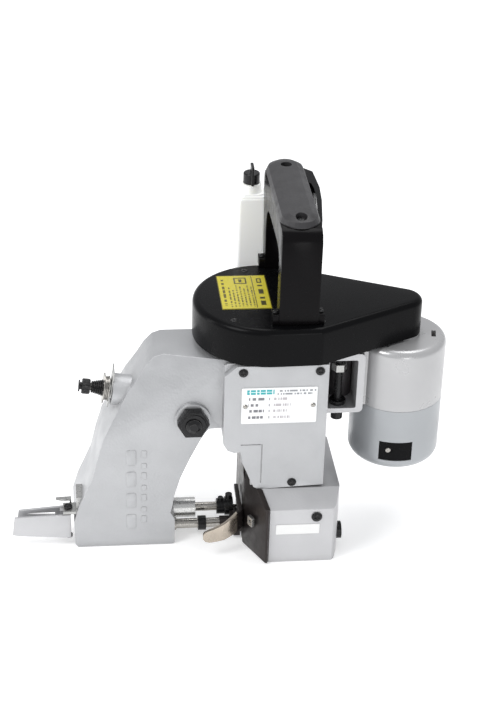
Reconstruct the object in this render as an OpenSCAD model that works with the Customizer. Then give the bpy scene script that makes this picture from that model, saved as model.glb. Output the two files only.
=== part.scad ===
// Portable bag closer sewing machine.
// Frame: origin on the floor under the main shaft's axis, +X right, +Y back, +Z up. Millimetres.

/* [Arm casting] */
// Front face of the needle arm (distance in front of the shaft axis)
arm_front = 34; // [32:1:36]
// Height of the arm's flat top
arm_top = 168; // [166:1:168]
// Height of the needle lever pivot
pivot_z = 118; // [117:1:119]

/* [Needle drive] */
// Height of the needle bar axis
bar_z = 17.5; // [17:0.5:18]
// Radius of the needle bar
bar_r = 3.6; // [3.4:0.1:3.8]
// Needle bar stroke
stroke = 16.5; // [12:0.5:16.5]

/* [Main shaft] */
// Radius of the main shaft
shaft_r = 6; // [5.5:0.5:6]
// Radius of the main pulley
pulley_r = 40; // [38:1:40]

/* [Motor] */
// Distance from main shaft to motor axis
motor_x = 103; // [103:1:104]
// Outer radius of the motor body
motor_r = 36; // [35:0.5:36]
// Height of the motor's bottom end
motor_z = 65; // [64:1:66]

/* [Belt cover] */
// Underside of the belt cover
cover_z = 173.5; // [173.5:0.5:174]
// Top of the belt cover
cover_top = 204; // [203:1:205]

/* [Handle] */
// Centre of the handle across its width
grip_x = 15.5; // [15:0.5:16]
// Width of the handle
grip_w = 30; // [29:1:30]

/* [Hidden] */
$fn = 48;
motor_y = -2;
needle_y = -8;
pr_y = -21;
pr_z = 10.5;
run = 0.05;
silver = [0.73, 0.74, 0.76];
black = [0.06, 0.06, 0.065];
steel = [0.62, 0.62, 0.6];
tens_o = [-122.5, -10, 132];
lift_x = -159.5;

// ---------- helpers ----------
module xz(y0, y1) { translate([0, y1, 0]) rotate([90, 0, 0]) linear_extrude(y1 - y0) children(); }
module box(a, b) { translate(a) cube([b[0] - a[0], b[1] - a[1], b[2] - a[2]]); }
module cx(x0, x1, y, z, r) { translate([x0, y, z]) rotate([0, 90, 0]) cylinder(h = x1 - x0, r = r); }
module cy(y0, y1, x, z, r) { translate([x, y0, z]) rotate([-90, 0, 0]) cylinder(h = y1 - y0, r = r); }
module cz(z0, z1, x, y, r) { translate([x, y, z0]) cylinder(h = z1 - z0, r = r); }
module rbox2(x0, y0, x1, y1, r) {
  translate([x0 + r, y0]) square([x1 - x0 - 2 * r, y1 - y0]);
  translate([x0, y0 + r]) square([x1 - x0, y1 - y0 - 2 * r]);
  for (x = [x0 + r, x1 - r], y = [y0 + r, y1 - r]) translate([x, y]) circle(r);
}
// domed round screw head with a driver recess, axis +Z, seat at z=0
module head(r, h) {
  difference() {
    rotate_extrude() intersection() { translate([0, h - r * 1.6]) circle(r * 1.6); translate([0, -1.5]) square([r, h + 1.5]); }
    translate([0, 0, h]) for (a = [0, 90]) rotate(a) cube([r * 1.1, r * 0.26, h], center = true);
  }
}

// ---------- arm and column casting ----------
module arm_outline() polygon([[-152, 0], [-154.5, 3], [-155, 24], [-151, 38], [-140, 64], [-136, 82], [-131, 100],
  [-121.5, 118.5], [-112, 136], [-103, 149], [-97, 159], [-91, 165.5], [-84, arm_top], [-30, arm_top], [-30, 98], [-36, 106], [-40, 108],
  [-49, 107.5], [-52, 104], [-56, 97], [-64, 80], [-71, 63], [-75.5, 47], [-77, 37], [-78.5, 30], [-75, 24], [-75, 1.5], [-76.5, 0]]);
module arm_cavity() {
  polygon([[-146, 8], [-147.5, 24], [-144, 36], [-133, 62], [-124, 98], [-106, 132], [-92, 156], [-85, 161],
    [-29, 161], [-29, 124], [-48, 120], [-57, 113], [-57, 104], [-66, 88], [-77, 68], [-82, 45], [-83, 8]]);
  translate([-62, pivot_z]) circle(10.2);
}
module column_outline() polygon([[-39, 172], [-39, 104], [-36, 97.5], [-30, 95.5], [-26.5, 95.5], [-24.5, 84], [-20, 74], [-17, 66], [-17, 62.2], [40.6, 62.2], [40.6, 172]]);
module column_cavity() polygon([[-34, 163], [-34, 106], [-26, 100], [-20, 88], [-14, 75], [-13, 71], [35.6, 71], [35.6, 163]]);
module arm_casting() color(silver) difference() {
  union() {
    xz(-arm_front, 18) arm_outline();
    xz(-46, 22) column_outline();
    // ring boss round the lever pivot
    cy(-38, -30, -62, pivot_z, 13.8);
    // thread tension boss on the left edge
    translate(tens_o) rotate([0, -82, 0]) translate([0, 0, -16]) cylinder(h = 17, r = 12.5);
    // flange that carries the rear posts
    box([-24, 19, 166], [41, 53, 171.8]);
    // posts under the belt cover
    for (p = [[34, -41], [-32, -36]]) cz(160, cover_top - 3.2, p[0], p[1], 4);
    for (p = [[-16, 46], [36, 38]]) cz(160, cover_top - 3.2, p[0], p[1], 4);
  }
  xz(-16, 19) arm_cavity();
  xz(-41.5, 17) column_cavity();
  // passage for the connecting rod
  box([-60, -14, 128], [-20, 14, 159]);
  // sloped facets on the upper front of the arm
  translate([-130, -34, 100]) rotate([0, -35.2, 0]) rotate([-24, 0, 0]) translate([-80, -60, 0]) cube([260, 60, 140]);
  translate([0, -20, arm_top]) rotate([-66.5, 0, 0]) translate([-140, -60, 0]) cube([100.4, 60, 40]);
  // bores for bearings, lever pivot, bushes
  cz(60, 80, 0, 0, 13);
  cz(160, 175, 0, 0, 13);
  cy(-40, 20, -62, pivot_z, 6);
  cx(-85, -70, needle_y, bar_z, 8.2);
  cx(-151, -140, needle_y, bar_z, 7);
  cx(-82.5, -70, pr_y, pr_z, 5.2);
  cx(-156, -82.4, pr_y, pr_z, 4.6);
  for (p = [[-25.5, 167], [33, 167], [15, 67.5]]) cy(-47, -41.9, p[0], p[1], 2.05);
  // tension stud bore
  translate(tens_o) rotate([0, -82, 0]) translate([0, 0, -14]) cylinder(h = 40, r = 3);
}
module arm_back_cover() color([0.7, 0.71, 0.73]) difference() {
  xz(18, 21) polygon([[-150, 3], [-151, 24], [-147, 38], [-136, 66], [-127, 101], [-108, 136], [-93, 160.5], [-86, 165], [-41, 165],
    [-41, 111], [-51, 109], [-60, 97], [-74, 60], [-80, 40], [-80, 3]]);
  cy(17, 22, -62, pivot_z, 6);
}
module front_outline() polygon([[-39.5, 164], [-30, 172.5], [39.8, 172.5], [39.8, 64.5], [-11, 62], [-15, 64], [-19.5, 75], [-23.5, 85], [-26, 96.5],
  [-31, 96], [-36, 98], [-39.5, 104]]);
module column_front_cover() color([0.76, 0.77, 0.79]) difference() {
  xz(-52, -46) front_outline();
  // groove line near the lower left
  box([-10, -53, 68], [-9, -51.2, 103]);
  box([-26, -53, 102.6], [-9, -51.4, 103.4]);
  for (p = [[-25.5, 167], [33, 167], [15, 67.5]]) { cy(-53, -45, p[0], p[1], 2.1); cy(-53, -50.4, p[0], p[1], 3.5); }
  for (p = [[-23.4, 137.8], [28.7, 137.8]]) cy(-53, -49, p[0], p[1], 1.1);
}
module front_cover_screws() color(black) for (p = [[-25.5, 167], [33, 167], [15, 67.5]]) {
  translate([p[0], -52, p[1]]) rotate([90, 0, 0]) head(3.4, 1.8);
  cy(-51.9, -42, p[0], p[1], 2);
}
module name_plate() color([0.93, 0.94, 0.94]) difference() {
  xz(-52.6, -52.01) rbox2(-26.4, 122.4, 31.6, 153.8, 1);
  for (p = [[-23.4, 137.8], [28.7, 137.8]]) cy(-53, -51, p[0], p[1], 1.1);
}
module plate_rivets() color(steel) for (p = [[-23.4, 137.8], [28.7, 137.8]]) {
  translate([p[0], -52.6, p[1]]) rotate([90, 0, 0]) rotate_extrude() intersection() { translate([0, -1]) circle(2.2); square([1.9, 1.2]); }
  cy(-52.6, -49.2, p[0], p[1], 1);
}

// ---------- looper housing ----------
module housing_plan() polygon([[-2.5, -64], [47.5, -64], [50, -61.5], [53.5, -50], [53.5, 22], [-17, 22], [-17, -34.5]]);
module looper_housing() color([0.8, 0.81, 0.82]) difference() {
  linear_extrude(62) housing_plan();
  // bevel on the upper front
  translate([0, -64, 49]) rotate([-42.7, 0, 0]) translate([-30, -30, 0]) cube([100, 30, 40]);
  // inner chamber, open at the top
  difference() {
    translate([0, 0, 5]) linear_extrude(52) polygon([[0, -54], [40, -54], [45, -42], [45, 17], [-12, 17], [-12, -32]]);
    translate([0, -64, 42]) rotate([-42.7, 0, 0]) translate([-30, -30, 0]) cube([100, 30, 40]);
    // bridge for the looper's upper bush and boss for the feed guide rod
    box([8.5, -17, 40], [46, 1, 46.5]);
    box([38, -1, 23], [46, 9, 33]);
  }
  cz(56, 63, 0, 0, 13.5);
  cz(39, 47, 18, -8, 5);
  cx(37, 47, 4, 28, 2.5 + run);
  // way in from the throat plate for needle and feed
  box([-20, -26, 7.5], [-10, 10, 28]);
  cy(-65, -50, 34.5, 42, 2.5);
  cy(-66, -62.4, 34.5, 42, 4.15);
  cx(40, 56, -40, 12.5, 3);
  // looper shaft bore
  cz(1.5, 8, 18, -8, 5);
}
module housing_bolts() color(black) {
  translate([34.5, -64, 42]) rotate([90, 0, 0]) head(4.1, 2.2);
  cy(-63.9, -51, 34.5, 42, 2.4);
  difference() { cx(53.6, 58.2, -40, 12.5, 7); cx(56.4, 60, -40, 12.5, 3); }
  cx(42, 53.7, -40, 12.5, 2.9);
}
module blank_label() color([0.95, 0.95, 0.94]) xz(-64.35, -64.01) rbox2(2.5, 26.5, 37, 35.5, 0.8);
module throat_plate() color([0.3, 0.29, 0.28]) difference() {
  translate([0, 0, 1]) linear_extrude(77) polygon([[-2.6, -64.2], [-4.2, -67], [-5.6, -66.2], [-20.5, -36.5], [-20.5, 20], [-17.2, 20], [-17.2, -34.6]]);
  // top of the lead-in follows the housing bevel and the cover's slanting edge
  translate([0, -64.5, 50]) rotate([-42.7, 0, 0]) translate([-30, -40, 0]) cube([100, 40, 60]);
  translate([-30, -38, 62.1]) cube([20, 10, 30]);
  translate([-16.8, -60, 62]) cube([20, 30, 30]);
  xz(-46.05, 22.1) offset(0.05) column_outline();
  cx(-22, -16, needle_y, bar_z, 2.6);
  for (z = [8.5, 23.5]) box([-22, -22, z], [-16, 8.5, z + 4.2]);
}
module throat_guide() color([0.66, 0.65, 0.63]) translate([-12.6, -55.2, 0]) rotate(-63.4) {
  translate([-8, 0, 0]) difference() { translate([0, -2.6, 27.5]) cube([6.4, 2.4, 8]); translate([3.2, -4, 31.5]) rotate([-90, 0, 0]) cylinder(h = 6, r = 1.4); }
}
module looper_bushes() color([0.7, 0.55, 0.3]) for (z = [2, 40]) difference() {
  cz(z, z + 6, 18, -8, 5);
  cz(z - 1, z + 10, 18, -8, 3 + run);
}

// ---------- bushes, pivots and bearings ----------
module needle_bar_bushes() color([0.85, 0.85, 0.83]) {
  difference() { cx(-83.2, -57, needle_y, bar_z, 8.2); cx(-86, -56, needle_y, bar_z, bar_r + run); }
  difference() { cx(-150.5, -125, needle_y, bar_z, 7); cx(-148.5, -124, needle_y, bar_z, bar_r + run); }
}
module presser_bar_bush() color(steel) difference() { cx(-82.5, -73, pr_y, pr_z, 5.2); cx(-86, -72, pr_y, pr_z, 4 + run); }
module lever_pivot_shaft() color(steel) { cy(-47.6, 24, -62, pivot_z, 6); translate([-62, -47.5, pivot_z]) rotate([90, 0, 0]) cylinder(h = 2, r1 = 6, r2 = 3.2); cy(24, 28, -62, pivot_z, 8.5); }
module lever_pivot_nut() color(black) difference() {
  union() {
    translate([-62, -38.05, pivot_z]) rotate([90, 0, 0]) cylinder(h = 7.5, r = 12.6, $fn = 6);
    translate([-62, -45.5, pivot_z]) rotate([90, 0, 0]) cylinder(h = 1.2, r = 9.6);
  }
  translate([-62, -37, pivot_z]) rotate([90, 0, 0]) cylinder(h = 14, r = 6.05);
}
module shaft_bearings() color(steel) for (z = [64, 161]) difference() {
  cz(z, z + 8, 0, 0, 13); cz(z - 1, z + 9, 0, 0, shaft_r + run);
}

// ---------- motor ----------
module motor_bracket() color([0.78, 0.78, 0.76]) difference() {
  union() {
    xz(-32, 14) rbox2(40.7, 117.5, 71, 169.5, 4);
  }
  xz(-33, 8) rbox2(43.4, 121.5, 65.5, 164, 1.5);
  cz(110, 125, 52.5, -22, 3.05);
  cz(60, 180, motor_x, motor_y, motor_r + 0.05);
}
module bracket_clamp_bolt() color(black) {
  cz(112, 160, 52.5, -22, 3);
  difference() { cz(108, 117.3, 52.5, -22, 4.6); translate([52.5, -22, 107]) cylinder(h = 5, r = 2.6, $fn = 6); }
  difference() { cz(121.6, 124.6, 52.5, -22, 6.4); cz(121, 125, 52.5, -22, 3.02); }
}
module bracket_spacer() color([0.3, 0.29, 0.29]) {
  // rubber-filled mounting sleeve
  difference() { cz(121.6, 158, 56, -4.4, 9.4); cz(152, 159, 56, -4.4, 6.5); cz(154, 165, 50, -22, 9); }
  // hexagon nut on the clamp bolt
  difference() { translate([52.5, -22, 151]) cylinder(h = 6, r = 6, $fn = 6); cz(150, 158, 52.5, -22, 3.02); }
}
module mprof(r, h0, h1, e0, e1) rotate_extrude() difference() {
  union() {
    translate([0, h0 + e0]) square([r, h1 - h0 - e0 - e1]);
    if (e0 > 0) { translate([0, h0]) square([r - e0, e0 + 1]); translate([r - e0, h0 + e0]) circle(e0); }
    if (e1 > 0) { translate([0, h1 - e1 - 1]) square([r - e1, e1 + 1]); translate([r - e1, h1 - e1]) circle(e1); }
  }
  translate([-r, h0 - 1]) square([r, h1 - h0 + 2]);
}
module motor_upper_shell() color([0.8, 0.8, 0.81]) difference() {
  union() {
    translate([motor_x, motor_y, 0]) mprof(motor_r, 119.7, 172, 0, 6);
    // mounting pad towards the bracket
    box([71.1, -24, 119.7], [84, 14, 167]);
    // boss round the shaft under the cover
    cz(170, 173.4, motor_x, motor_y, 14.5);
  }
  cz(100, 166, motor_x, motor_y, motor_r - 3.5);
  cz(165, 180, motor_x, motor_y, 11);
  // cooling slot on the top rim
  for (a = [-10, 70, 150, 230]) translate([motor_x, motor_y, 164]) rotate(a) translate([24, -5, 0]) cube([3.5, 10, 12]);
}
module motor_lower_shell() color([0.68, 0.71, 0.73]) difference() {
  translate([motor_x, motor_y, 0]) mprof(motor_r, motor_z, 119.5, 9, 0);
  cz(motor_z + 4, 125, motor_x, motor_y, motor_r - 3.5);
  // windows over the brush holders
  translate([motor_x - 4, motor_y, 83]) { box([-13, -60, -8.5], [13, -20, 8.5]); box([-13, 20, -8.5], [13, 60, 8.5]); }
  // bearing seat
  cz(motor_z + 1.5, 80, motor_x, motor_y, 9);
}
module brush_covers() color(black) for (s = [-1, 1]) difference() {
  intersection() {
    difference() { cz(70, 96, motor_x, motor_y, motor_r - 0.8); cz(69, 97, motor_x, motor_y, motor_r - 4.5); }
    translate([motor_x - 4, motor_y, 83]) box([-12.8, s > 0 ? 20 : -60, -8.3], [12.8, s > 0 ? 60 : -20, 8.3]);
  }
  translate([motor_x - 9, motor_y + s * 38, 84]) rotate([90, 0, 0]) cylinder(h = 8, r = 2.6, center = true);
}
module motor_stator() color([0.45, 0.35, 0.28]) difference() {
  cz(98, 146, motor_x, motor_y, motor_r - 3.5);
  cz(97, 147, motor_x, motor_y, 22);
}
module motor_bearings() color(steel) {
  difference() { cz(66.6, 73, motor_x, motor_y, 9); cz(66, 74, motor_x, motor_y, 3 + run); }
  difference() { cz(166.1, 173, motor_x, motor_y, 11); cz(166, 174, motor_x, motor_y, 4 + run); }
}
module belt_plan(a, b) {
  d = motor_x; al = asin((a - b) / d);
  difference() {
    union() {
      circle(a); translate([d, motor_y]) circle(b);
      rotate(atan2(motor_y, motor_x)) polygon([[a * sin(al), a * cos(al)], [d + b * sin(al), b * cos(al)], [d + b * sin(al), -b * cos(al)], [a * sin(al), -a * cos(al)]]);
    }
  }
}
module drive_belt() color([0.12, 0.12, 0.12]) translate([0, 0, 184]) linear_extrude(8) difference() {
  belt_plan(pulley_r + 2, 10); belt_plan(pulley_r + 0.3, 8.3);
}

// ---------- belt cover and handle ----------
// outline of the cover as a stack of round corners, pulled in by o
module cover_corners(z, o, h) {
  translate([-3.5, 1.5, z]) cylinder(h = h, r = 57 - o, $fn = 72);
  translate([103, -2, z]) cylinder(h = h, r = 15 - o, $fn = 36);
  translate([31.5, -47.5, z]) cylinder(h = h, r = 7 - o, $fn = 36);
}
module belt_cover() color(black) difference() {
  hull() {
    cover_corners(cover_z, 0, cover_top - 4.8 - cover_z);
    for (a = [22.5:22.5:90]) cover_corners(cover_top - 5.1 + 4.8 * sin(a), 4.8 * (1 - cos(a)), 0.3);
  }
  hull() cover_corners(cover_z - 1, 3, cover_top - 3 - cover_z + 1);
  for (p = [[34, -41], [-32, -36], [-16, 46], [36, 38]]) cz(cover_top - 4, cover_top + 1, p[0], p[1], 1.6);
}
module caution_label() color([0.95, 0.9, 0.3]) translate([0, 0, cover_top + 0.02]) linear_extrude(0.3) translate([-39.5, -19]) square([38.5, 56]);
module handle_side() polygon([[-47, 204.4], [-49, 272], [-47, 278], [-42, 281.5], [66, 281.5], [70.5, 279], [72, 274], [72, 262], [66, 240], [62, 204.4],
  [48, 204.4], [50, 236], [47, 252], [40, 258.5], [30, 260.5], [-22, 260.5], [-30, 257], [-33, 250], [-33, 216], [-29, 204.4]]);
module handle_frame() color(black) {
  difference() {
    union() {
      // closed loop of front leg, top beam and rear leg
      translate([grip_x - grip_w / 2, 0, 0]) rotate([90, 0, 90]) linear_extrude(grip_w) handle_side();
      // lugs beside the front leg and the rear leg
      for (s = [-1, 1]) translate([grip_x + s * (grip_w / 2 + 1.5), 0, 0]) {
        box([-3, -46, 204.4], [3, -34, 212]);
        box([-3, 50, 204.4], [3, 60, 212]);
      }
    }
    // trim the rear foot where the cover curves away
    cy(-40, -20, grip_x, 270, 3);
    // switch pocket in the beam
    box([grip_x - 6, 6, 262.5], [grip_x + 15, 44, 278.5]);
    // cord inlet in the rear leg
    cy(40, 80, grip_x, 226, 6);
    cy(64.55, 80, grip_x, 226, 8.05);
    for (s = [-1, 1], y = [-40, 55]) cz(210.4, 214, grip_x + s * (grip_w / 2 + 1.8), y, 2.55);
    for (y = [57.5, -35.5]) cz(272, 290, grip_x, y, 1.6);
    // slot for the trigger's pivot
    box([grip_x + 6, 55.5, 270.4], [grip_x + 16, 77, 280.4]);
    box([grip_x + 6.5, -32, 270.4], [grip_x + 16, 57, 280.4]);
  }
  // trigger pivot pin
  cz(269, 281.4, grip_x + 10.5, 62, 2);
}
module grip_cap() color([0.38, 0.37, 0.38]) difference() {
  hull() {
    for (y = [-28, 62]) translate([grip_x, y, 0]) {
      translate([0, 0, 281.6]) cylinder(h = 1, r = 15, $fn = 32);
      translate([0, 0, 285.5]) cylinder(h = 0.5, r = 13.4, $fn = 32);
      translate([0, 0, 288.2]) cylinder(h = 0.4, r = 8.6, $fn = 32);
      translate([0, 0, 289.4]) cylinder(h = 0.2, r = 3.5, $fn = 24);
    }
  }
  for (y = [57.5, -35.5]) { cz(280, 292, grip_x, y, 1.6); cz(283.9, 292, grip_x, y, 4.4); }
}
module handle_screws() color([0.75, 0.75, 0.75]) for (s = [-1, 1], y = [-40, 55]) translate([grip_x + s * (grip_w / 2 + 1.8), y, 212]) head(2.5, 1.7);
module grip_screws() color(black) for (y = [57.5, -35.5]) { translate([grip_x, y, 285.5]) head(3.8, 1.6); cz(274, 285.5, grip_x, y, 1.5); }
module trigger_switch() color([0.15, 0.15, 0.16]) {
  box([grip_x - 5.5, 8, 263], [grip_x + 6, 36, 278]);
  cx(grip_x + 5.9, grip_x + 13.4, 14, 275, 1.8);
}
module cord_grommet() color([0.1, 0.1, 0.1]) difference() {
  union() { cy(50.5, 66, grip_x, 226, 6); cy(64.6, 69, grip_x, 226, 8); }
  cy(49, 70, grip_x, 226, 3.5);
}
module trigger_lever() color([0.25, 0.25, 0.25]) difference() {
  translate([0, 0, 271]) linear_extrude(8.6) polygon([[24.5, 57], [23, 60], [23, 66], [26, 72], [30, 74], [37.5, 66], [38.4, 50], [39, 35], [37.5, 12], [33, -24], [30.8, -26],
    [30.6, -22], [32.5, 0], [34.2, 20], [34.4, 34], [33.4, 43], [30, 46], [29.6, 56]]);
  cz(270, 281, grip_x + 10.5, 62, 2.06);
}

// ---------- oil bottle ----------
module oil_bottle() color([0.94, 0.95, 0.92]) translate([-8, 85, 0]) difference() {
  union() {
    translate([0, 0, 176]) linear_extrude(76) rbox2(-12.3, -11, 12.3, 11, 4);
    translate([0, 0, 252]) linear_extrude(2) rbox2(-11.3, -10, 11.3, 10, 4);
    translate([0, 0, 254]) linear_extrude(1.6) rbox2(-9.5, -8.6, 9.5, 8.6, 4);
    cz(255, 262.6, 0, 0, 8.2);
    cz(262.6, 269, 0, 0, 5.2);
  }
  translate([0, 0, 177.5]) linear_extrude(73) rbox2(-10.8, -9.5, 10.8, 9.5, 3);
  cz(240, 271, 0, 0, 4);
}
module bottle_bracket() color(black) difference() {
  union() {
    box([-22.5, 73.4, 172.5], [6.5, 98.6, 188]);
    box([-22.5, 53.1, 166.5], [6.5, 74, 172]);
    box([-22.5, 66, 166.5], [6.5, 75, 176]);
  }
  box([-20.5, 73.8, 175.8], [4.5, 96.2, 201]);
  box([-24, 80, 179.5], [8, 100, 201]);
}
module bottle_cap() color(black) translate([-8, 85, 0]) difference() {
  union() {
    rotate_extrude() difference() { union() { translate([0, 262.9]) square([6.6, 7.4]); translate([0, 270]) square([5.4, 1.4]); translate([5.4, 270.2]) circle(1.2); } translate([-10, 250]) square([10, 30]); }
    // hanging wire standing in front of the cap
    cz(263.2, 279, 0, -8.6, 1.1);
    box([-1.1, -8.6, 264.4], [1.1, -6, 266.4]);
    box([-1.1, -8.6, 276.8], [1.1, 1.1, 279]);
    cz(270, 279, 0, 0, 1.1);
  }
  cz(250, 269.5, 0, 0, 5.45);
}

// ---------- thread tension ----------
module on_tens() translate(tens_o) rotate([0, -82, 0]) children();
module tension_stud() color([0.6, 0.6, 0.6]) on_tens() difference() {
  union() { translate([0, 0, -13]) cylinder(h = 39.4, r = 2.9); translate([0, 0, 26]) cylinder(h = 1, r = 4.6); }
}
module tension_discs() color([0.72, 0.72, 0.7]) on_tens() for (q = [[3.4, 10], [4.6, 9.4], [5.8, 9.4], [7.2, 12]]) translate([0, 0, q[0]])
  difference() { cylinder(h = 0.9, r = q[1]); translate([0, 0, -1]) cylinder(h = 3, r = 2.92); }
module tension_spring() color([0.5, 0.5, 0.5]) on_tens() for (i = [0:5]) translate([0, 0, 8.9 + i * 1.5])
  rotate_extrude() translate([4.1 + 0.35 * (5 - i), 0]) circle(0.6);
module thread_guides() color([0.75, 0.75, 0.74]) on_tens() difference() {
  union() { translate([-4, -8, 1.2]) cube([22, 16, 0.9]); translate([-14, -5, 2.2]) cube([20, 10, 0.9]); }
  translate([0, 0, 0]) cylinder(h = 4, r = 2.92);
  translate([14.5, 0, 0]) cylinder(h = 4, r = 1.6);
  translate([-11, 0, 0]) cylinder(h = 4, r = 1.6);
}
module tension_nut() color([0.35, 0.35, 0.35]) on_tens() difference() {
  union() { translate([0, 0, 18]) cylinder(h = 6.4, r = 5.7); for (a = [0:22.5:359]) rotate(a) translate([5.4, 0, 18.6]) cylinder(h = 5.2, r = 0.7, $fn = 12); }
  translate([0, 0, 17]) cylinder(h = 9, r = 2.96);
}

// ---------- presser bar and lifter ----------
module presser_bar() color(steel) {
  cx(-142.5, -31, pr_y, pr_z, 4);
  cx(-55.5, -49, pr_y, pr_z, 5.9);
}
module presser_foot() color([0.22, 0.21, 0.2]) difference() {
  union() {
    // shank on the bar
    cx(-38, -29, pr_y, pr_z, 5.2);
    // lower sole and upper prong facing the throat plate
    box([-27, -30, 3], [-21.8, 6, 8.4]);
    box([-24.8, -40, 14], [-21.8, -25, 34.5]);
    box([-24.8, -40, 31], [-21.8, -2, 34.5]);
    box([-30, -30, 5], [-21.8, -17.6, 19]);
    // toe curled away from the plate at the front
    intersection() {
      translate([-52, -17.1, 10]) linear_extrude(26) difference() {
        circle(38); circle(35.2);
        translate([-60, -22.4]) square([120, 80]);
        translate([-60, -60]) square([58, 60]);
      }
      xz(-60, -39) polygon([[-54.2, 18], [-52.5, 15.4], [-49, 14.4], [-36, 14.6], [-20, 18.5], [-20, 34.5], [-27, 34.5], [-37, 29.5], [-49, 25.6], [-53, 23.4], [-54.2, 21]]);
    }
  }
  cx(-60, -30.9, pr_y, pr_z, 4);
}
module lifter_bracket() color([0.6, 0.61, 0.63]) difference() {
  union() {
    // pad on the arm's left edge and the plate that holds the pin
    box([-153, -30, 32], [-143, -10, 44.5]);
    box([-163.5, -31.5, 30.1], [-149, -18, 32.4]);
    box([-153, -31.5, 30.1], [-149, -18, 34]);
    // thin upright with its pointed tab
    box([-158.2, -22, 32], [-156.8, -18, 38.5]);
    xz(-22, -18) polygon([[-156.8, 38.5], [-169, 37.9], [-165, 36.8], [-156.8, 36.8]]);
  }
  cz(28, 34, lift_x, -25, 1.9);
  xz(-35, 19) offset(0.02) arm_outline();
}
module lifter_pin() color([0.2, 0.2, 0.2]) translate([0, 0, 3.5]) { cz(2.6, 29.3, lift_x, -25, 1.9); cz(1.6, 3.4, lift_x, -25, 3.2); cz(29.2, 30.6, lift_x, -25, 3.4); }
module lifter_lever() color([0.78, 0.79, 0.8]) translate([0, 0, 3.5]) difference() {
  union() {
    // folded channel: front flange, rear flange, floor
    xz(-31.5, -29.7) polygon([[-204, 8.5], [-202, 24.5], [-157.5, 25.8], [-157.5, 4.2], [-162, 4.2], [-200, 7.4]]);
    xz(-18, -16.2) polygon([[-200.5, 11], [-199, 22.5], [-158.5, 25.8], [-158.5, 12]]);
    xz(-30, -17.9) polygon([[-203.5, 10], [-203.3, 11.8], [-164, 9.2], [-164, 7.2]]);
    // pivot ears
    box([-163.5, -30, 7], [-157.5, -21.5, 12]);
    box([-163.5, -30, 19], [-157.5, -21.5, 24]);
    box([-166, -22, 7], [-158.5, -16.4, 24]);
  }
  xz(-19, -15) polygon([[-192, 18.4], [-192, 19.6], [-170, 20], [-170, 17.6]]);
  cz(0, 40, lift_x, -25, 1.95);
}

// ---------- moving drive parts ----------
module main_shaft() color(steel) {
  cz(38, 199, 0, 0, shaft_r);
  // crank disc for the connecting rod, with its balance side
  cz(137, 140.4, 0, 0, 13);
  cz(140.3, 150, 2.6, 0, 11);
  // cam for the looper and feed
  cz(48, 56, 1.5, 0, 10.2);
}
module main_pulley() color([0.55, 0.56, 0.58]) difference() {
  union() { cz(181, 195, 0, 0, pulley_r); cz(195, 198, 0, 0, 14); cz(176, 181, 0, 0, 14); }
  difference() { cz(185, 196, 0, 0, 34); cz(184, 197, 0, 0, 14); }
  for (a = [0:60:300]) rotate(a) cz(180, 190, 24, 0, 6);
  cz(170, 200, 0, 0, shaft_r);
}
module motor_rotor() color([0.55, 0.45, 0.35]) {
  cz(67, 166, motor_x, motor_y, 3);
  cz(150, 197, motor_x, motor_y, 4);
  difference() { cz(99, 145, motor_x, motor_y, 21.5); for (a = [0:30:330]) translate([motor_x, motor_y, 98]) rotate(a) translate([19, -1.4, 0]) cube([4, 2.8, 60]); }
  cz(78, 92, motor_x, motor_y, 11);
  difference() { cz(150, 158, motor_x, motor_y, 28); for (a = [0:40:320]) translate([motor_x, motor_y, 151.6]) rotate(a) translate([12, 0, 0]) cube([20, 3, 10]); }
}
module motor_pulley() color([0.6, 0.6, 0.62]) difference() {
  union() { cz(182, 194, motor_x, motor_y, 8); cz(193.9, 195.2, motor_x, motor_y, 9.4); cz(180.8, 182, motor_x, motor_y, 9.4); }
  cz(180, 196, motor_x, motor_y, 4);
}
module needle_lever() color([0.5, 0.5, 0.51]) {
  difference() {
    union() {
      cy(-15.2, 12, -62, pivot_z, 9.2);
      // lower arm to the needle bar
      xz(-2, 6) polygon([[-70, pivot_z + 3], [-56, pivot_z - 6], [-80, 68], [-85, 40], [-83.6, 8], [-97, 8], [-98, 40], [-93, 72]]);
      // upper arm to the connecting rod
      xz(4, 11) polygon([[-69, pivot_z], [-55, pivot_z], [-57.5, 146], [-66.5, 146]]);
      cy(4, 11, -62, 145, 6);
    }
    cy(-20, 20, -62, pivot_z, 6 + run);
    // slot that takes the needle bar's pin
    translate([-90, 0, bar_z]) rotate([0, 15.6, 0]) box([-3.6, -20, -6.5], [3.6, 7, 8]);
    translate([-110, -20, 0]) cube([40, 30, bar_z - 4.9]);
    cy(3, 12, -62, 145, 3);
  }
}
module connecting_rod() color([0.55, 0.55, 0.56]) difference() {
  union() {
    xz(-3.2, 3.2) polygon([[-66, 141.6], [-66, 148.8], [-18, 149], [-18, 141.6]]);
    translate([-2.6, 0, 141.6]) linear_extrude(7.4) rbox2(-20.5, -16.6, 20.5, 16.6, 16);
    cy(-3.2, 11.4, -62, 145, 2.95);
    cy(-3.2, 3.2, -62, 145, 5.6);
  }
  translate([-2.6, 0, 141]) linear_extrude(10) rbox2(-17.5, -14.6, 17.5, 14.6, 14);
}
module needle_bar() color(steel) {
  cx(-131, -36, needle_y, bar_z, bar_r);
  // drive block and its pin in the lever's fork
  box([-96, -13, 11], [-84.4, -3.2, 24]);
  cy(-4, 5.8, -90, bar_z, 3);
}
module needle_clamp() color(black) difference() {
  union() {
    cx(-39.5, -32.5, needle_y, bar_z, 6.4);
    cx(-33, -26.2, needle_y, bar_z, 7.6);
    cz(bar_z + 5, bar_z + 11.5, -29.6, needle_y, 2.8);
    cz(bar_z + 5, bar_z + 8.5, -36.2, needle_y, 2.2);
  }
  cx(-41, -33, needle_y, bar_z, bar_r);
  cx(-34, -25, needle_y, bar_z, 1.05);
}
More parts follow.
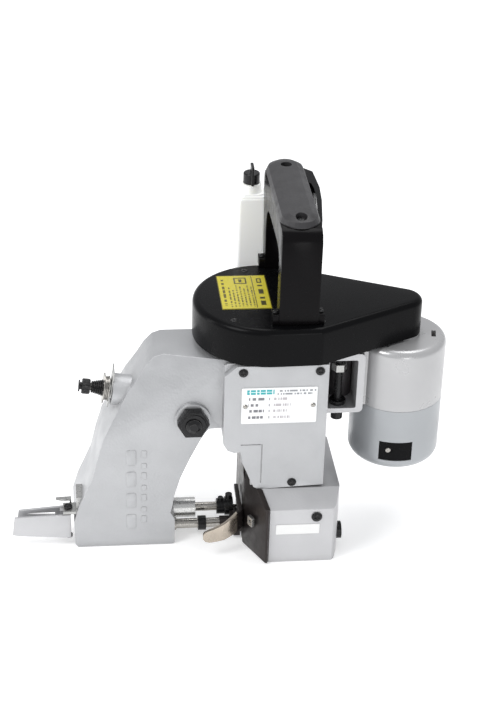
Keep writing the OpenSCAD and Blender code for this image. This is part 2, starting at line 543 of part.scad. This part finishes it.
module needle() color([0.8, 0.8, 0.8]) {
  cx(-35.5, -12, needle_y, bar_z, 1.05);
  translate([-12, needle_y, bar_z]) rotate([0, 90, 0]) cylinder(h = 5, r1 = 1.05, r2 = 0.15);
}
module looper() color(steel) {
  cz(2.5, 47.5, 18, -8, 3);
  difference() { cz(14, 21, 18, -8, 7); cz(13, 22, 18, -8, 3); }
  translate([0, 0, 15.5]) linear_extrude(4) polygon([[16, -2], [3, 1.5], [-2, -1.5], [-4.4, -3.4], [-2, -4.6], [4, -3.6], [14, -8.5]]);
}
module feed_carrier() color([0.5, 0.5, 0.5]) difference() {
  union() { box([-6, -18, 22.2], [-2.5, 8, 34]); cx(-3, 44, 4, 28, 2.5); }
}
module feed_dog() color([0.6, 0.6, 0.58]) union() {
  for (z = [9, 24]) difference() {
    box([-18.3, -17, z], [-9, 0.5, z + 3.2]);
    for (i = [0:7]) translate([-18.4, -16 + i * 2.3, z - 1]) rotate(45) translate([-0.5, -0.5, 0]) cube([1, 1, 6]);
  }
  difference() { box([-10, -17, 9], [-6.4, 0.5, 27.2]); box([-11, -13.5, 12.4], [-6, -1, 23.8]); }
}

arm_casting();
arm_back_cover();
column_front_cover();
front_cover_screws();
name_plate();
plate_rivets();
looper_housing();
housing_bolts();
blank_label();
throat_plate();
throat_guide();
needle_bar_bushes();
presser_bar_bush();
lever_pivot_shaft();
lever_pivot_nut();
shaft_bearings();
motor_bracket();
bracket_clamp_bolt();
bracket_spacer();
motor_upper_shell();
motor_lower_shell();
brush_covers();
motor_stator();
motor_bearings();
drive_belt();
belt_cover();
caution_label();
handle_frame();
grip_cap();
handle_screws();
grip_screws();
trigger_switch();
cord_grommet();
oil_bottle();
bottle_bracket();
tension_stud();
tension_discs();
tension_spring();
thread_guides();
lifter_bracket();
lifter_pin();
looper_bushes();
main_shaft();
main_pulley();
motor_rotor();
motor_pulley();
needle_lever();
connecting_rod();
needle_bar();
needle_clamp();
needle();
looper();
feed_carrier();
feed_dog();
presser_bar();
presser_foot();
lifter_lever();
trigger_lever();
tension_nut();
bottle_cap();
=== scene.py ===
import math
import bpy
import bmesh
from mathutils import Vector, Matrix


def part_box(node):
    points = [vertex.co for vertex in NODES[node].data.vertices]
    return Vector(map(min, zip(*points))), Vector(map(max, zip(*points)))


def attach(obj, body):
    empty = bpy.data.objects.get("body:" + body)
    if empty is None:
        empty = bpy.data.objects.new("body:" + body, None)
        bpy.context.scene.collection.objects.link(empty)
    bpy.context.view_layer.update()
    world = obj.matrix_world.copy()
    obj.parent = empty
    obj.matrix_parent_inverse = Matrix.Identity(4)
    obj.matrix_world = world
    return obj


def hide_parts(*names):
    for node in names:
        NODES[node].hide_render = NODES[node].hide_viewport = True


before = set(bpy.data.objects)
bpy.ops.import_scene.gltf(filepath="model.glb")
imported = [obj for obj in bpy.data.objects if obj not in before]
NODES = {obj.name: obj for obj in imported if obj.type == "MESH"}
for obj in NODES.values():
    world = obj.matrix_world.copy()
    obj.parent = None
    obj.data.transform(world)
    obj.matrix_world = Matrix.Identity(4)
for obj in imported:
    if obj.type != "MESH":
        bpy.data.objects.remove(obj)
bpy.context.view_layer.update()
MM = 0.001

# ------------------------------------------------------------------ camera
cam_data = bpy.data.cameras.new("cam")
cam_data.sensor_width = 36
cam_data.sensor_height = 36
cam_data.sensor_fit = "VERTICAL"
cam_data.lens = 90
cam = bpy.data.objects.new("cam", cam_data)
bpy.context.scene.collection.objects.link(cam)
psi, th, roll = math.radians(6.5), math.radians(29.5), math.radians(1.7)
fw = Vector((math.sin(psi) * math.cos(th), math.cos(psi) * math.cos(th), -math.sin(th)))
rt0 = Vector((math.cos(psi), -math.sin(psi), 0))
up0 = rt0.cross(fw)
rt = rt0 * math.cos(roll) + up0 * math.sin(roll)
up = -rt0 * math.sin(roll) + up0 * math.cos(roll)
rot = Matrix((rt, up, -fw)).transposed().to_4x4()
cam.matrix_world = Matrix.Translation(Vector((-0.1615, -1.2192, 0.8432))) @ rot
cam_data.clip_start = 0.05
cam_data.clip_end = 20
bpy.context.scene.camera = cam

# ------------------------------------------------------------------ light
world = bpy.data.worlds.new("studio")
bpy.context.scene.world = world
world.use_nodes = True
wn = world.node_tree
bg = wn.nodes["Background"]
bg.inputs["Color"].default_value = (0.97, 0.98, 1.0, 1)
bg.inputs["Strength"].default_value = 0.62
vs = bpy.context.scene.view_settings
vs.view_transform = "Standard"
vs.look = "None"
vs.exposure = 0.0
vs.gamma = 1.0


def area(name, loc, target, size, power, size_y=None, color=(1, 1, 1)):
    d = bpy.data.lights.new(name, "AREA")
    d.energy = power
    d.size = size
    d.color = color
    if size_y:
        d.shape = "RECTANGLE"
        d.size_y = size_y
    o = bpy.data.objects.new(name, d)
    bpy.context.scene.collection.objects.link(o)
    o.location = loc
    o.rotation_euler = (Vector(target) - Vector(loc)).to_track_quat("-Z", "Y").to_euler()
    return o


area("key_softbox", (-0.95, -0.55, 1.30), (-0.02, 0, 0.12), 0.55, 10, 0.7)
area("top_softbox", (0.20, 0.35, 1.35), (0, 0, 0.1), 0.9, 6, 0.7)
area("left_strip", (-1.4, 0.15, 0.45), (-0.05, 0, 0.12), 0.3, 2.5, 1.0)
area("front_low_fill", (0.35, -1.7, 0.35), (-0.03, 0, 0.08), 0.5, 2, 0.35)

# floor
bm = bmesh.new()
bmesh.ops.create_grid(bm, x_segments=1, y_segments=1, size=6.0)
me = bpy.data.meshes.new("studio_floor")
bm.to_mesh(me)
bm.free()
floor = bpy.data.objects.new("studio_floor", me)
bpy.context.scene.collection.objects.link(floor)
floor.location.z = -0.0001
fm = bpy.data.materials.new("studio_floor")
fm.use_nodes = True
fb = fm.node_tree.nodes["Principled BSDF"]
fb.inputs["Base Color"].default_value = (0.95, 0.95, 0.95, 1)
fb.inputs["Roughness"].default_value = 0.55
fb.inputs["Emission Color"].default_value = (1, 1, 1, 1)
fb.inputs["Emission Strength"].default_value = 0.36
me.materials.append(fm)

# ------------------------------------------------------------------ materials


def mat(name, color, rough=0.4, metal=0.0, vary=0.04, vary_scale=30, bump=0.05, bump_scale=900, bump_dist=0.0002,
        wear=0.0, wear_color=None, wear_width=0.0008, recess_shade=0.0, rough_vary=0.08, coat=0.0, spec=0.5, brushed=None,
        bevel=0.0004, trans=0.0, alpha=1.0, subsurf=0.0, voronoi=0.0):
    """A procedural surface: colour drift, roughness drift, fine bump, edge wear, painted shade in recesses, optional
    brushing and orange peel.
    """
    m = bpy.data.materials.new(name)
    m.use_nodes = True
    nt = m.node_tree
    n, l = nt.nodes, nt.links
    b = n["Principled BSDF"]
    b.inputs["Metallic"].default_value = metal
    b.inputs["Specular IOR Level"].default_value = spec
    b.inputs["Coat Weight"].default_value = coat
    b.inputs["Coat Roughness"].default_value = 0.12
    if trans:
        b.inputs["Transmission Weight"].default_value = trans
    if subsurf:
        b.inputs["Subsurface Weight"].default_value = subsurf
        b.inputs["Subsurface Radius"].default_value = (0.01, 0.01, 0.009)
    if alpha < 1:
        b.inputs["Alpha"].default_value = alpha
    tc = n.new("ShaderNodeTexCoord")
    mp = n.new("ShaderNodeMapping")
    l.new(tc.outputs["Object"], mp.inputs["Vector"])
    if brushed:
        mp.inputs["Scale"].default_value = brushed
    # colour drift
    big = n.new("ShaderNodeTexNoise")
    big.inputs["Scale"].default_value = vary_scale
    big.inputs["Detail"].default_value = 5
    big.inputs["Roughness"].default_value = 0.6
    l.new(tc.outputs["Object"], big.inputs["Vector"])
    ramp = n.new("ShaderNodeMapRange")
    ramp.inputs["From Min"].default_value = 0.3
    ramp.inputs["From Max"].default_value = 0.7
    ramp.inputs["To Min"].default_value = 1 - vary
    ramp.inputs["To Max"].default_value = 1 + vary
    l.new(big.outputs["Fac"], ramp.inputs["Value"])
    mul = n.new("ShaderNodeVectorMath")
    mul.operation = "SCALE"
    mul.inputs[0].default_value = color[:3]
    l.new(ramp.outputs["Result"], mul.inputs["Scale"])
    col = mul.outputs["Vector"]
    # fine grain
    fine = n.new("ShaderNodeTexNoise")
    fine.inputs["Scale"].default_value = bump_scale
    fine.inputs["Detail"].default_value = 3
    l.new(mp.outputs["Vector"], fine.inputs["Vector"])
    height = fine.outputs["Fac"]
    if voronoi:
        vo = n.new("ShaderNodeTexVoronoi")
        vo.inputs["Scale"].default_value = voronoi
        l.new(tc.outputs["Object"], vo.inputs["Vector"])
        ad = n.new("ShaderNodeMath")
        ad.operation = "ADD"
        l.new(fine.outputs["Fac"], ad.inputs[0])
        l.new(vo.outputs["Distance"], ad.inputs[1])
        height = ad.outputs["Value"]
    # roughness drift: broad smudges and fine grain together
    r1 = n.new("ShaderNodeMapRange")
    r1.inputs["From Min"].default_value = 0.35
    r1.inputs["From Max"].default_value = 0.65
    r1.inputs["To Min"].default_value = max(rough - rough_vary, 0.03)
    r1.inputs["To Max"].default_value = min(rough + rough_vary, 1)
    sm = n.new("ShaderNodeTexNoise")
    sm.inputs["Scale"].default_value = vary_scale * 2.7
    sm.inputs["Detail"].default_value = 6
    l.new(tc.outputs["Object"], sm.inputs["Vector"])
    l.new(sm.outputs["Fac"], r1.inputs["Value"])
    l.new(r1.outputs["Result"], b.inputs["Roughness"])
    bv = n.new("ShaderNodeBevel")
    bv.samples = 4
    bv.inputs["Radius"].default_value = bevel
    if wear > 0:
        # worn edges: where the rounded normal leaves the true one
        wb = n.new("ShaderNodeBevel")
        wb.samples = 4
        wb.inputs["Radius"].default_value = wear_width
        geo = n.new("ShaderNodeNewGeometry")
        dt = n.new("ShaderNodeVectorMath")
        dt.operation = "DOT_PRODUCT"
        l.new(wb.outputs["Normal"], dt.inputs[0])
        l.new(geo.outputs["Normal"], dt.inputs[1])
        inv = n.new("ShaderNodeMapRange")
        inv.inputs["From Min"].default_value = 0.985
        inv.inputs["From Max"].default_value = 0.88
        inv.inputs["To Min"].default_value = 0
        inv.inputs["To Max"].default_value = 1
        l.new(dt.outputs["Value"], inv.inputs["Value"])
        wn2 = n.new("ShaderNodeTexNoise")
        wn2.inputs["Scale"].default_value = 260
        wn2.inputs["Detail"].default_value = 6
        l.new(tc.outputs["Object"], wn2.inputs["Vector"])
        wr = n.new("ShaderNodeMapRange")
        wr.inputs["From Min"].default_value = 0.42
        wr.inputs["From Max"].default_value = 0.62
        wr.inputs["To Min"].default_value = 0
        wr.inputs["To Max"].default_value = wear
        l.new(wn2.outputs["Fac"], wr.inputs["Value"])
        mk = n.new("ShaderNodeMath")
        mk.operation = "MULTIPLY"
        l.new(inv.outputs["Result"], mk.inputs[0])
        l.new(wr.outputs["Result"], mk.inputs[1])
        mx = n.new("ShaderNodeMix")
        mx.data_type = "RGBA"
        l.new(mk.outputs["Value"], mx.inputs["Factor"])
        l.new(col, mx.inputs["A"])
        mx.inputs["B"].default_value = (*(wear_color or (0.75, 0.75, 0.74)), 1)
        col = mx.outputs["Result"]
    # painted shade: an ambient occlusion mask darkens the colour to about a third of itself in recesses, creases and
    # between parts
    if recess_shade > 0:
        ao = n.new("ShaderNodeAmbientOcclusion")
        ao.samples = 4
        ao.inputs["Distance"].default_value = 0.006
        dm = n.new("ShaderNodeMapRange")
        dm.inputs["From Min"].default_value = 0.35
        dm.inputs["From Max"].default_value = 0.9
        dm.inputs["To Min"].default_value = recess_shade
        dm.inputs["To Max"].default_value = 0
        l.new(ao.outputs["AO"], dm.inputs["Value"])
        mx = n.new("ShaderNodeMix")
        mx.data_type = "RGBA"
        l.new(dm.outputs["Result"], mx.inputs["Factor"])
        l.new(col, mx.inputs["A"])
        mx.inputs["B"].default_value = (color[0] * 0.35, color[1] * 0.34, color[2] * 0.32, 1)
        col = mx.outputs["Result"]
    l.new(col, b.inputs["Base Color"])
    bp = n.new("ShaderNodeBump")
    bp.inputs["Strength"].default_value = min(bump * 4, 1)
    bp.inputs["Distance"].default_value = bump_dist
    l.new(height, bp.inputs["Height"])
    if bevel > 0:
        l.new(bv.outputs["Normal"], bp.inputs["Normal"])
    l.new(bp.outputs["Normal"], b.inputs["Normal"])
    return m


cast = mat("cast_silver", (0.47, 0.475, 0.485), rough=0.40, metal=0.55, vary=0.05, vary_scale=18, bump=0.09, bump_scale=650,
           bump_dist=0.00025, wear=0.5, wear_color=(0.80, 0.80, 0.80), recess_shade=0.35, voronoi=420)
cast_bright = mat("cast_bright", (0.54, 0.54, 0.55), rough=0.36, metal=0.55, vary=0.03, vary_scale=22, bump=0.07, bump_scale=700,
                  wear=0.5, wear_color=(0.86, 0.86, 0.86), recess_shade=0.3, voronoi=480)
motor_light = mat("motor_light", (0.49, 0.49, 0.495), rough=0.34, metal=0.45, vary=0.02, vary_scale=14, bump=0.03, bump_scale=500,
                  wear=0.3, wear_color=(0.86, 0.86, 0.86), recess_shade=0.2, coat=0.2)
motor_blue = mat("motor_blue", (0.39, 0.405, 0.42), rough=0.36, metal=0.45, vary=0.025, vary_scale=14, bump=0.035, bump_scale=520,
                 wear=0.3, wear_color=(0.75, 0.77, 0.78), recess_shade=0.2, coat=0.15)
black_gloss = mat("black_gloss", (0.003, 0.003, 0.0035), rough=0.26, spec=0.09, vary=0.12, vary_scale=26, bump=0.035, bump_scale=420, bump_dist=0.00012,
                  wear=0.25, wear_color=(0.03, 0.03, 0.03), coat=0.0, rough_vary=0.05)
handle_black = mat("handle_black", (0.004, 0.0035, 0.004), rough=0.24, spec=0.09, vary=0.12, vary_scale=30, bump=0.03, bump_scale=380, bump_dist=0.00012,
                   wear=0.3, wear_color=(0.03, 0.03, 0.03), coat=0.0, rough_vary=0.05, bevel=0.0012)
grip_grey = mat("grip_grey", (0.035, 0.034, 0.036), rough=0.40, spec=0.4, vary=0.08, vary_scale=35, bump=0.10, bump_scale=1200, bump_dist=0.0002,
                wear=0.2, wear_color=(0.10, 0.10, 0.10), rough_vary=0.07, voronoi=900)
black_oxide = mat("black_oxide", (0.012, 0.012, 0.013), rough=0.30, metal=0.25, spec=0.35, vary=0.2, vary_scale=120, bump=0.06, bump_scale=1500,
                  wear=0.6, wear_color=(0.30, 0.29, 0.28), wear_width=0.0004)
steel = mat("steel", (0.40, 0.385, 0.36), rough=0.24, metal=1.0, vary=0.05, vary_scale=90, bump=0.012, bump_scale=200, bump_dist=0.0001, brushed=(9, 1, 1),
            recess_shade=0.3, wear=0.2, wear_width=0.0004)
bright = mat("bright_bush", (0.66, 0.66, 0.65), rough=0.28, metal=0.9, vary=0.03, vary_scale=90, bump=0.012, bump_scale=200, bump_dist=0.0001, brushed=(9, 1, 1))
# dark steel finish of the throat plate, also used as painted shade on the presser foot's upper plate
dark_steel = mat("dark_steel", (0.030, 0.025, 0.024), rough=0.36, metal=0.5, spec=0.3, vary=0.18, vary_scale=60, bump=0.07, bump_scale=500,
                 brushed=(1, 3, 1), wear=0.5, wear_color=(0.20, 0.18, 0.16), wear_width=0.0005)
foot_steel = mat("foot_steel", (0.50, 0.44, 0.37), rough=0.26, metal=0.95, vary=0.12, vary_scale=45, bump=0.05, bump_scale=420,
                 brushed=(1, 5, 1), wear=0.4, wear_color=(0.75, 0.70, 0.62), wear_width=0.0006)
zinc = mat("zinc", (0.46, 0.46, 0.45), rough=0.32, metal=0.9, vary=0.08, vary_scale=150, bump=0.07, bump_scale=900, wear=0.2)
bronze = mat("bronze", (0.55, 0.40, 0.2), rough=0.4, metal=0.9, vary=0.1, bump=0.08)
machined = mat("machined", (0.55, 0.56, 0.57), rough=0.3, metal=0.9, vary=0.05, bump=0.06, bump_scale=300, brushed=(1, 1, 12))
copper = mat("copper", (0.45, 0.25, 0.12), rough=0.4, metal=0.7, vary=0.2, vary_scale=200, bump=0.2, bump_scale=300, brushed=(1, 1, 10))
rubber = mat("belt_rubber", (0.02, 0.02, 0.02), rough=0.7, vary=0.2, bump=0.2, bump_scale=1500)
dark_grey = mat("dark_sleeve", (0.06, 0.055, 0.058), rough=0.4, metal=0.3, vary=0.2, vary_scale=80, bump=0.08, bump_scale=500, wear=0.4, wear_color=(0.3, 0.28, 0.27))
bottle = mat("bottle_white", (0.93, 0.94, 0.91), rough=0.35, vary=0.02, vary_scale=20, bump=0.05, bump_scale=160, bump_dist=0.0004,
             subsurf=0.5, rough_vary=0.06, bevel=0.0012)
white_label = mat("white_label", (0.88, 0.88, 0.87), rough=0.35, vary=0.015, vary_scale=90, bump=0.03, bump_scale=1500, rough_vary=0.05)


# painted light: the oil bottle glows faintly so its white plastic reads brighter than the lamps make it
bottle.node_tree.nodes["Principled BSDF"].inputs["Emission Color"].default_value = (1, 1, 0.98, 1)
bottle.node_tree.nodes["Principled BSDF"].inputs["Emission Strength"].default_value = 0.18


def label_mat(name, base, origin, ux, uy, w, h, bars, rough=0.32, border=None, border_w=0.012):
    """A printed foil: bars are (u0, v0, u1, v1, colour) in 0..1 over the face, plain blocks with no lettering. A bar
    with a sixth and seventh entry (the axis "u" or "v" and a noise scale) is split into uneven dashes along that axis.
    """
    m = mat(name, base, rough=rough, vary=0.02, vary_scale=70, bump=0.03, bump_scale=1200, rough_vary=0.05, bevel=0)
    nt = m.node_tree
    n, l = nt.nodes, nt.links
    b = n["Principled BSDF"]
    tc = n.new("ShaderNodeTexCoord")
    sub = n.new("ShaderNodeVectorMath")
    sub.operation = "SUBTRACT"
    l.new(tc.outputs["Object"], sub.inputs[0])
    sub.inputs[1].default_value = origin

    def axis(vec, length):
        d = n.new("ShaderNodeVectorMath")
        d.operation = "DOT_PRODUCT"
        l.new(sub.outputs["Vector"], d.inputs[0])
        d.inputs[1].default_value = [c / length for c in vec]
        return d.outputs["Value"]

    U, V = axis(ux, w), axis(uy, h)

    def gate(sock, lo, hi):
        a = n.new("ShaderNodeMath"); a.operation = "GREATER_THAN"; l.new(sock, a.inputs[0]); a.inputs[1].default_value = lo
        c = n.new("ShaderNodeMath"); c.operation = "LESS_THAN"; l.new(sock, c.inputs[0]); c.inputs[1].default_value = hi
        p = n.new("ShaderNodeMath"); p.operation = "MULTIPLY"; l.new(a.outputs[0], p.inputs[0]); l.new(c.outputs[0], p.inputs[1])
        return p.outputs[0]

    col = b.inputs["Base Color"].links[0].from_socket
    for bar in bars:
        u0, v0, u1, v1, c = bar[:5]
        p = n.new("ShaderNodeMath"); p.operation = "MULTIPLY"
        l.new(gate(U, u0, u1), p.inputs[0]); l.new(gate(V, v0, v1), p.inputs[1])
        fac = p.outputs[0]
        if len(bar) > 5:
            along = U if bar[5] == "u" else V
            no = n.new("ShaderNodeTexNoise")
            no.noise_dimensions = "1D"
            no.inputs["Scale"].default_value = bar[6]
            no.inputs["Detail"].default_value = 0
            l.new(along, no.inputs["W"])
            g = n.new("ShaderNodeMath"); g.operation = "GREATER_THAN"; l.new(no.outputs["Fac"], g.inputs[0]); g.inputs[1].default_value = 0.45
            q = n.new("ShaderNodeMath"); q.operation = "MULTIPLY"; l.new(fac, q.inputs[0]); l.new(g.outputs[0], q.inputs[1])
            fac = q.outputs[0]
        mx = n.new("ShaderNodeMix"); mx.data_type = "RGBA"
        l.new(fac, mx.inputs["Factor"]); l.new(col, mx.inputs["A"])
        mx.inputs["B"].default_value = (*c, 1)
        col = mx.outputs["Result"]
    l.new(col, b.inputs["Base Color"])
    return m


lo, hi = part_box("name_plate")
GR = (0.30, 0.31, 0.33)
TEAL = (0.03, 0.42, 0.45)
name_bars = [(0.070, 0.82, 0.105, 0.95, TEAL), (0.118, 0.82, 0.185, 0.95, TEAL), (0.200, 0.82, 0.235, 0.95, TEAL), (0.248, 0.82, 0.315, 0.95, TEAL),
             (0.328, 0.82, 0.400, 0.95, TEAL), (0.414, 0.82, 0.430, 0.95, TEAL), (0.09, 0.875, 0.41, 0.895, (0.75, 0.90, 0.90)),
             (0.47, 0.885, 0.98, 0.935, GR, "u", 30), (0.47, 0.80, 0.93, 0.85, GR, "u", 33)]
for k, v in enumerate((0.655, 0.485, 0.32, 0.14)):
    name_bars.append((0.09, v, 0.30 - 0.08 * (k == 1), v + 0.075, (0.20, 0.20, 0.22), "u", 27 + k * 5))
    name_bars.append((0.36, v, 0.375, v + 0.07, (0.35, 0.35, 0.37)))
    name_bars.append((0.42, v, 0.60 + 0.05 * (k % 2), v + 0.07, (0.50, 0.47, 0.49), "u", 35 + k * 7))
name_plate = label_mat("name_plate_print", (0.93, 0.94, 0.94), (lo.x, lo.y, lo.z), (1, 0, 0), (0, 0, 1), hi.x - lo.x, hi.z - lo.z, name_bars)

lo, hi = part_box("caution_label")
YG = (0.12, 0.10, 0.01)
ybars = []
for k in range(7):
    u = 0.20 + k * 0.075
    ybars.append((u, 0.06, u + 0.03, (0.66, 0.60, 0.70)[k % 3], YG, "v", 22 + 3 * k))
ybars += [(0.08, 0.10, 0.13, 0.88, YG, "v", 18), (0.80, 0.10, 0.90, 0.70, (0.05, 0.045, 0.005), "v", 9),
          (0.80, 0.76, 0.90, 0.90, (0.05, 0.045, 0.005)), (0.825, 0.79, 0.875, 0.87, (0.55, 0.47, 0.03)),
          (0.34, 0.74, 0.60, 0.93, (0.07, 0.06, 0.006)), (0.37, 0.765, 0.57, 0.905, (0.55, 0.47, 0.03)), (0.44, 0.79, 0.50, 0.88, (0.07, 0.06, 0.006)),
          (0.70, 0.03, 0.72, 0.97, YG), (0.0, 0.0, 1.0, 0.014, YG), (0.0, 0.986, 1.0, 1.0, YG), (0.0, 0.0, 0.016, 1.0, YG), (0.984, 0.0, 1.0, 1.0, YG)]
caution = label_mat("caution_print", (0.60, 0.52, 0.035), (lo.x, lo.y, lo.z), (1, 0, 0), (0, 1, 0), hi.x - lo.x, hi.y - lo.y, ybars, rough=0.3)

assign = {
    cast: ["arm_casting", "arm_back_cover", "column_front_cover"],
    cast_bright: ["looper_housing", "motor_bracket", "lifter_lever"],
    motor_light: ["motor_upper_shell"],
    motor_blue: ["motor_lower_shell"],
    black_gloss: ["belt_cover", "brush_covers", "trigger_switch", "trigger_lever"],
    handle_black: ["handle_frame"],
    grip_grey: ["grip_cap"],
    black_oxide: ["front_cover_screws", "housing_bolts", "lever_pivot_nut", "bracket_clamp_bolt", "grip_screws", "handle_screws", "lever_pivot_shaft", "tension_nut", "tension_spring", "bottle_bracket", "lifter_pin", "needle_clamp", "bottle_cap"],
    steel: ["plate_rivets", "presser_bar_bush", "shaft_bearings", "motor_bearings", "tension_stud", "tension_discs",
            "main_shaft", "needle_bar", "needle", "looper", "feed_dog", "presser_bar"],
    bright: ["needle_bar_bushes"],
    dark_steel: ["throat_plate"],
    foot_steel: ["presser_foot"],
    zinc: ["throat_guide", "thread_guides", "lifter_bracket"],
    dark_grey: ["bracket_spacer"],
    bronze: ["looper_bushes"],
    machined: ["main_pulley", "motor_pulley", "needle_lever", "connecting_rod", "feed_carrier"],
    copper: ["motor_stator", "motor_rotor"],
    rubber: ["drive_belt", "cord_grommet"],
    bottle: ["oil_bottle"],
    white_label: ["blank_label"],
    name_plate: ["name_plate"],
    caution: ["caution_label"],
}
done = set()
for m, names in assign.items():
    for nm in names:
        o = NODES[nm]
        o.data.materials.clear()
        o.data.materials.append(m)
        for p in o.data.polygons:
            p.material_index = 0
        done.add(nm)
missing = [n for n in NODES if n not in done]
assert not missing, missing



def second(nm, m, test):
    """Faces of one node whose centre passes the test take a second finish."""
    o = NODES[nm]
    o.data.materials.append(m)
    k = len(o.data.materials) - 1
    for p in o.data.polygons:
        if test(p.center):
            p.material_index = k


# painted shade: the presser foot's upper plate and right part take the dark steel finish in place of the shadow they
# sit in, and only the toe keeps the bare foot finish
second("presser_foot", dark_steel, lambda c: c.y > -0.0402 or c.x > -0.0262)
second("presser_bar", black_oxide, lambda c: -0.0562 < c.x < -0.0485 and (c.y + 0.021) ** 2 + (c.z - 0.0105) ** 2 > 0.0045 ** 2)
second("bracket_spacer", zinc, lambda c: c.y < -0.0145)
second("tension_stud", black_oxide, lambda c: c.x < -0.132)

# smooth shading with crisp edges
for nm, o in NODES.items():
    for p in o.data.polygons:
        p.use_smooth = True
    if o.data.has_custom_normals:
        pass
    o.data.set_sharp_from_angle(angle=math.radians(32))


# ------------------------------------------------------------------ rounded edges on castings and mouldings


def soften(nm, width, seg=3, angle=40):
    o = NODES[nm]
    w = o.modifiers.new("weld", "WELD")
    w.merge_threshold = 0.00001
    b = o.modifiers.new("edge_radius", "BEVEL")
    b.width = width
    b.segments = seg
    b.limit_method = "ANGLE"
    b.angle_limit = math.radians(angle)
    b.use_clamp_overlap = True
    b.harden_normals = False


for nm, w in (("handle_frame", 0.0022), ("looper_housing", 0.0012), ("column_front_cover", 0.0008), ("arm_casting", 0.0012), ("motor_bracket", 0.0008),
              ("lever_pivot_nut", 0.0005), ("name_plate", 0.0002), ("lifter_lever", 0.0003), ("throat_plate", 0.0004), ("presser_foot", 0.0004)):
    soften(nm, w)


# ------------------------------------------------------------------ detail pieces
def new_piece(name, verts, faces, m, body, smooth=True, angle=35):
    me = bpy.data.meshes.new(name)
    me.from_pydata(verts, [], faces)
    me.validate()
    bm = bmesh.new()
    bm.from_mesh(me)
    bmesh.ops.recalc_face_normals(bm, faces=bm.faces)
    bm.to_mesh(me)
    bm.free()
    o = bpy.data.objects.new(name, me)
    bpy.context.scene.collection.objects.link(o)
    me.materials.append(m)
    if smooth:
        for p in me.polygons:
            p.use_smooth = True
        me.set_sharp_from_angle(angle=math.radians(angle))
    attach(o, body)
    return o


def tangent_outline(circles, n=200):
    """The convex outline round some circles, as points, by support directions."""
    pts = []
    last = None
    for i in range(n):
        a = 2 * math.pi * i / n
        d = (math.cos(a), math.sin(a))
        c = max(circles, key=lambda q: q[0] * d[0] + q[1] * d[1] + q[2])
        pts.append((c[0] + c[2] * d[0], c[1] + c[2] * d[1]))
    return pts


# belt cover shell: the same three-circle outline as the part, with an even rounding along its top edge
clo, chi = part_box("belt_cover")
circles = [(-3.5, 1.5, 57.0), (103.0, -2.0, 15.0), (31.5, -47.5, 7.0)]
z0, z1 = clo.z / MM, chi.z / MM
RAD, WALL, SEG = 4.8, 3.0, 8
rings = []
N = 360


def ring(off, z):
    return [(x * MM, y * MM, z * MM) for x, y in tangent_outline([(cx, cy, r - off) for cx, cy, r in circles], N)]


rings.append(ring(0.0, z0))
rings.append(ring(0.0, z0 + 1.0))
rings.append(ring(0.0, z1 - RAD))
for k in range(1, SEG + 1):
    a = math.pi / 2 * k / SEG
    rings.append(ring(RAD * (1 - math.cos(a)), z1 - RAD + RAD * math.sin(a)))
inner = [ring(WALL, z1 - WALL), ring(WALL, z0)]
verts, faces = [], []
for r in rings:
    verts += r
for k in range(len(rings) - 1):
    for i in range(N):
        j = (i + 1) % N
        faces.append((k * N + i, k * N + j, (k + 1) * N + j, (k + 1) * N + i))
top = (len(rings) - 1) * N
faces.append(tuple(top + i for i in range(N)))
base = len(verts)
for r in inner:
    verts += r
faces.append(tuple(base + i for i in range(N)))
for i in range(N):
    j = (i + 1) % N
    faces.append((base + i, base + j, base + N + j, base + N + i))
    faces.append((base + N + i, base + N + j, j, i))
cover = new_piece("belt_cover_shell", verts, faces, black_gloss, "frame", angle=30)
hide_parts("belt_cover")


def lathe(name, profile, centre, m, body, n=36, axis="z"):
    """A turned piece from (radius, height) pairs, in mm."""
    verts, faces = [], []
    for r, h in profile:
        for i in range(n):
            a = 2 * math.pi * i / n
            x, y = r * math.cos(a), r * math.sin(a)
            q = (x, y, h) if axis == "z" else (x, -h, y)
            verts.append(tuple((c + v) * MM for c, v in zip(centre, q)))
    for k in range(len(profile) - 1):
        for i in range(n):
            j = (i + 1) % n
            faces.append((k * n + i, k * n + j, (k + 1) * n + j, (k + 1) * n + i))
    faces.append(tuple(range(n))[::-1])
    faces.append(tuple((len(profile) - 1) * n + i for i in range(n)))
    return new_piece(name, verts, faces, m, body)


# countersunk screws that hold the belt cover down on its posts
for k, (x, y) in enumerate(((34, -41), (-32, -36), (-16, 46), (36, 38))):
    lathe("cover_screw_%d" % (k + 1), [(2.6, -0.4), (2.6, 0.05), (2.3, 0.25), (1.4, 0.3), (1.0, -0.1), (0.4, -0.15)], (x, y, 204.0), black_oxide, "frame", 24)


# plain raised pads on the arm's front, in two columns, where the maker's casting marks would be
def pad(verts, faces, x0, x1, z0, z1, y, h, c=0.8):
    b = len(verts)
    for inset, yy in ((0.0, y + 0.3), (0.0, y - h * 0.4), (c * 0.6, y - h)):
        verts += [(x * MM, yy * MM, z * MM) for x, z in (
            (x0 + c, z0 + inset), (x1 - c, z0 + inset), (x1 - inset, z0 + c), (x1 - inset, z1 - c), (x1 - c, z1 - inset), (x0 + c, z1 - inset), (x0 + inset, z1 - c), (x0 + inset, z0 + c))]
    for k in range(2):
        for i in range(8):
            j = (i + 1) % 8
            faces.append((b + k * 8 + i, b + k * 8 + j, b + (k + 1) * 8 + j, b + (k + 1) * 8 + i))
    faces.append(tuple(b + 16 + i for i in range(8)))
    faces.append(tuple(b + i for i in range(8))[::-1])


verts, faces = [], []
for k in range(4):
    za = 16 + 20 * k
    pad(verts, faces, -113.5, -105.8, za, za + 14, -34, 0.6, 1.2)
for k in range(7):
    za = 22 + 10.2 * k
    pad(verts, faces, -101.8, -97.4, za, za + 6.2 - 1.6 * (k % 2), -34, 0.5, 0.7)
new_piece("arm_raised_pads", verts, faces, cast, "frame")

# small screw in the left slot of the motor's front window
lo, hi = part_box("brush_covers")
lathe("brush_cap_screw", [(2.1, -0.5), (2.1, 0.5), (1.5, 0.9), (0.9, 0.9), (0.6, 0.5), (0.2, 0.45)], (93.0, -35.8, 84.0), steel, "frame", 24, axis="y")
